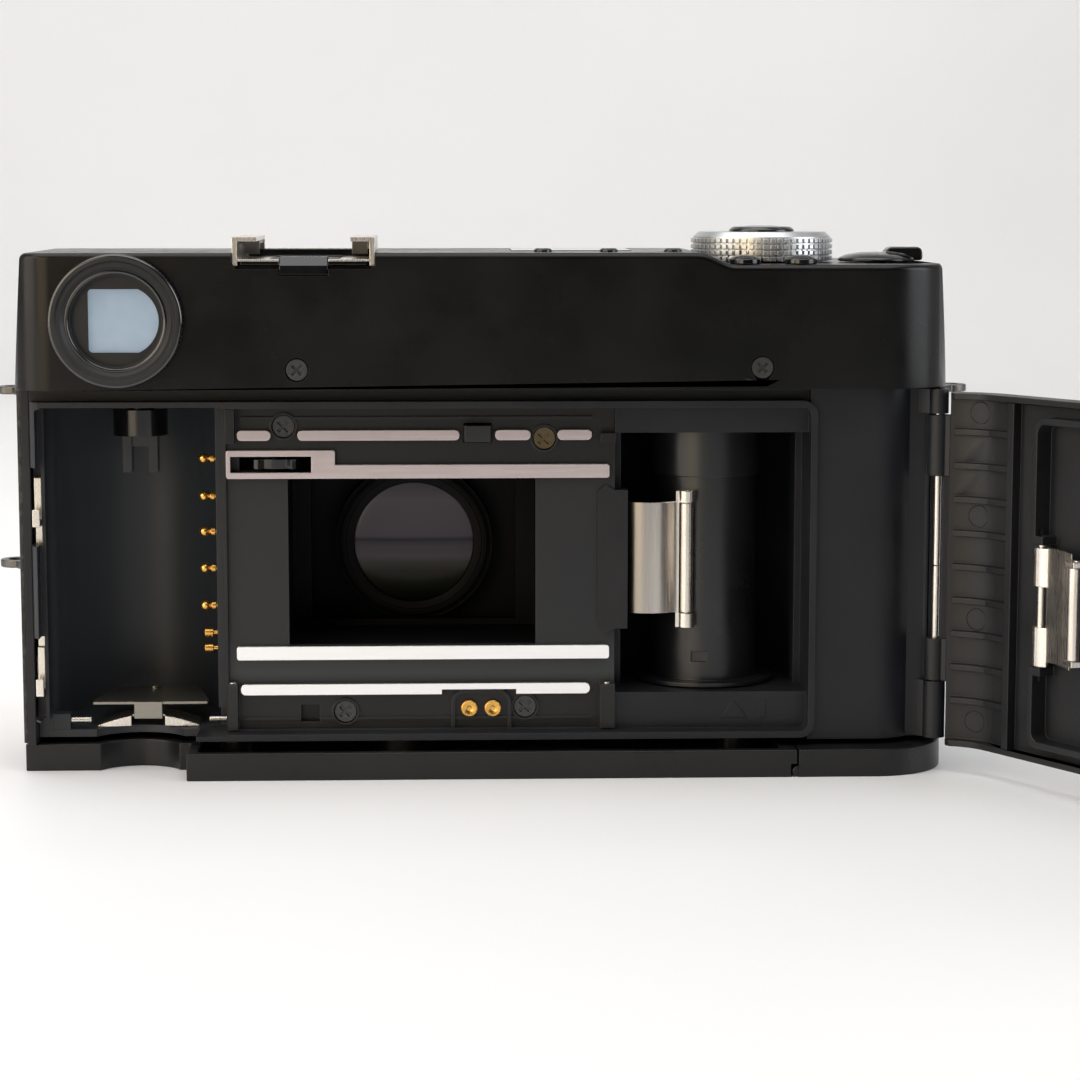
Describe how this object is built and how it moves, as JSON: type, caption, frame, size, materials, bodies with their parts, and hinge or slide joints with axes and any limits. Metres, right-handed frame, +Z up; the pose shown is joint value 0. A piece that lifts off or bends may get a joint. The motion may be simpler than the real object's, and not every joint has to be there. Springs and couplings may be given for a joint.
{
  "type": "35 mm film camera with a fixed lens",
  "caption": "Compact film camera with a side-hinged back, optical finder, fixed lens with a sliding hood, top dial and accessory shoe.",
  "frame": {"origin": "mouth of the tripod socket in the bottom plate, straight below the lens axis", "axes": "+X towards the film cassette end (left seen from the back), lens faces -Y, +Z up"},
  "size_m": [0.2076, 0.1742, 0.0789],
  "materials": {
    "black_casting": "satin black painted die casting",
    "black_cover": "fine satin black coating",
    "black_plastic": "moulded matte black plastic",
    "gloss_black": "polished black plastic",
    "covering": "pebbled black covering",
    "rail_plate": "matte black with polished bright rails",
    "nickel": "brushed nickel plate",
    "dial_metal": "matte silver, knurled",
    "dark_steel": "blackened steel",
    "gold": "gold plated",
    "lens_glass": "coated optical glass",
    "finder_glass": "coated flat glass",
    "window_panel": "dark tinted window",
    "lamp": "clear red",
    "board": "lacquered circuit board",
    "cell": "printed battery sleeve"
  },
  "bodies": {
    "camera_body": {"main_chassis": "black_casting", "film_plate": "rail_plate", "light_box": "black_plastic", "front_cover": "black_casting", "front_covering": "covering", "top_cover": "black_cover", "bottom_plate": "black_cover", "hinge_pin": "nickel", "eyepiece_ring": "black_plastic", "eyepiece_glass": "finder_glass", "finder_tube": "black_plastic", "finder_front_glass": "finder_glass", "focus_window": "window_panel", "self_timer_lamp": "lamp", "hot_shoe": "nickel", "shoe_spring": "dark_steel", "shoe_insulator": "gloss_black", "display_window": "window_panel", "winding_motor": "nickel", "guide_flap": "black_plastic", "cassette_spring": "nickel", "guide_pins": "nickel", "plate_screws": "dark_steel", "case_screws": "dark_steel", "data_contacts": "gold", "lens_barrel": "black_cover", "rear_element": "lens_glass", "shutter_housing": "black_plastic", "circuit_board": "board", "battery": "cell", "strap_lugs": "dark_steel", "tripod_bush": "nickel"},
    "back_door": {"back_door": "black_plastic", "pressure_spring": "nickel"},
    "pressure_plate": {"pressure_plate": "black_cover"},
    "spool_spring": {"spool_spring": "nickel"},
    "spring_roller": {"spring_roller": "nickel"},
    "door_latch": {"door_latch": "nickel"},
    "battery_cover": {"battery_cover": "black_cover"},
    "focus_barrel": {"focus_barrel": "black_cover", "front_element": "lens_glass"},
    "lens_hood": {"lens_hood": "black_cover"},
    "aperture_dial": {"aperture_dial": "dial_metal"},
    "shutter_button": {"shutter_button": "gloss_black"},
    "mode_lever": {"mode_lever": "gloss_black"},
    "select_button": {"select_button": "gloss_black"},
    "timer_button": {"timer_button": "gloss_black"},
    "mode_button": {"mode_button": "gloss_black"},
    "down_button": {"down_button": "gloss_black"},
    "up_button": {"up_button": "gloss_black"},
    "take_up_spool": {"take_up_spool": "black_plastic"},
    "sprocket": {"sprocket": "gloss_black"},
    "rewind_fork": {"rewind_fork": "gloss_black"},
    "film_leaf": {"film_leaf": "nickel"},
    "leaf_roller": {"leaf_roller": "nickel"},
    "code_contacts": {"code_contacts": "gold"},
    "door_switch": {"door_switch": "gloss_black"},
    "cassette_saddle": {"cassette_saddle": "dark_steel"},
    "shutter_blade_left": {"shutter_blade_left": "dark_steel"},
    "shutter_blade_right": {"shutter_blade_right": "dark_steel"}
  },
  "joints": [
    {"name": "door_swing", "type": "hinge", "parent": "camera_body", "child": "back_door", "pos_m": [-0.0759, 0.012, 0.03], "axis": [0, 0, 1], "range_deg": [-121, 20]},
    {"name": "pressure_plate_press", "type": "slide", "parent": "back_door", "child": "pressure_plate", "axis": [-0.8572, -0.515, 0], "range_m": [0, 0.001], "stiffness_N_per_m": 600},
    {"name": "spool_spring_flex", "type": "hinge", "parent": "back_door", "child": "spool_spring", "pos_m": [-0.08769, 0.02871, 0.0307], "axis": [0, 0, 1], "range_deg": [0, 10], "stiffness_Nm_per_rad": 0.02},
    {"name": "spring_roller_spin", "type": "hinge", "parent": "spool_spring", "child": "spring_roller", "pos_m": [-0.08985, 0.0392, 0.0307], "axis": [0, 0, 1], "continuous": true},
    {"name": "latch_slide", "type": "slide", "parent": "camera_body", "child": "door_latch", "axis": [0, 0, 1], "range_m": [0, 0.0024]},
    {"name": "battery_cover_swing", "type": "hinge", "parent": "camera_body", "child": "battery_cover", "pos_m": [-0.0555, 0, 0.0008], "axis": [0, -1, 0], "range_deg": [0, 100]},
    {"name": "focus_travel", "type": "slide", "parent": "camera_body", "child": "focus_barrel", "axis": [0, -1, 0], "range_m": [0, 0.0012]},
    {"name": "hood_slide", "type": "slide", "parent": "camera_body", "child": "lens_hood", "axis": [0, -1, 0], "range_m": [0, 0.008]},
    {"name": "aperture_turn", "type": "hinge", "parent": "camera_body", "child": "aperture_dial", "pos_m": [-0.0516, -0.002, 0.075], "axis": [0, 0, 1], "range_deg": [-90, 90]},
    {"name": "shutter_press", "type": "slide", "parent": "camera_body", "child": "shutter_button", "axis": [0, 0, -1], "range_m": [0, 0.0008], "stiffness_N_per_m": 800},
    {"name": "mode_turn", "type": "hinge", "parent": "camera_body", "child": "mode_lever", "pos_m": [-0.0677, 0.003, 0.074], "axis": [0, 0, 1], "range_deg": [-35, 35]},
    {"name": "select_press", "type": "slide", "parent": "camera_body", "child": "select_button", "axis": [0, 0, -1], "range_m": [0, 0.0004], "stiffness_N_per_m": 800},
    {"name": "timer_press", "type": "slide", "parent": "camera_body", "child": "timer_button", "axis": [0, 0, -1], "range_m": [0, 0.0004], "stiffness_N_per_m": 800},
    {"name": "mode_press", "type": "slide", "parent": "camera_body", "child": "mode_button", "axis": [0, 0, -1], "range_m": [0, 0.0004], "stiffness_N_per_m": 800},
    {"name": "down_press", "type": "slide", "parent": "camera_body", "child": "down_button", "axis": [0, 0, -1], "range_m": [0, 0.0005], "stiffness_N_per_m": 800},
    {"name": "up_press", "type": "slide", "parent": "camera_body", "child": "up_button", "axis": [0, 0, -1], "range_m": [0, 0.0005], "stiffness_N_per_m": 800},
    {"name": "spool_turn", "type": "hinge", "parent": "camera_body", "child": "take_up_spool", "pos_m": [-0.0434, -0.0014, 0.03], "axis": [0, 0, 1], "continuous": true},
    {"name": "sprocket_turn", "type": "hinge", "parent": "camera_body", "child": "sprocket", "pos_m": [0.0196, 0.0065, 0.045], "axis": [0, 0, 1], "continuous": true},
    {"name": "rewind_turn", "type": "hinge", "parent": "camera_body", "child": "rewind_fork", "pos_m": [0.04, -0.0012, 0.05], "axis": [0, 0, 1], "continuous": true},
    {"name": "leaf_flex", "type": "hinge", "parent": "camera_body", "child": "film_leaf", "pos_m": [-0.0304, 0.0082, 0.031], "axis": [0, 0, 1], "range_deg": [-10, 0], "stiffness_Nm_per_rad": 0.02},
    {"name": "roller_spin", "type": "hinge", "parent": "film_leaf", "child": "leaf_roller", "pos_m": [-0.04, 0.0071, 0.031], "axis": [0, 0, 1], "continuous": true},
    {"name": "code_contact_press", "type": "slide", "parent": "camera_body", "child": "code_contacts", "axis": [-1, 0, 0], "range_m": [0, 0.0008], "stiffness_N_per_m": 500},
    {"name": "door_switch_press", "type": "slide", "parent": "camera_body", "child": "door_switch", "axis": [0, -1, 0], "range_m": [0, 0.001], "stiffness_N_per_m": 500},
    {"name": "saddle_press", "type": "slide", "parent": "camera_body", "child": "cassette_saddle", "axis": [0, 0, -1], "range_m": [0, 0.001], "stiffness_N_per_m": 900},
    {"name": "blade_left_swing", "type": "hinge", "parent": "camera_body", "child": "shutter_blade_left", "pos_m": [0, -0.0217, 0.0487], "axis": [0, -1, 0], "range_deg": [0, 33]},
    {"name": "blade_right_swing", "type": "hinge", "parent": "camera_body", "child": "shutter_blade_right", "pos_m": [0, -0.0221, 0.0487], "axis": [0, -1, 0], "range_deg": [-33, 0]}
  ],
  "couplings": [
    {"joint": "blade_right_swing", "follows": "blade_left_swing", "ratio": -1}
  ]
}
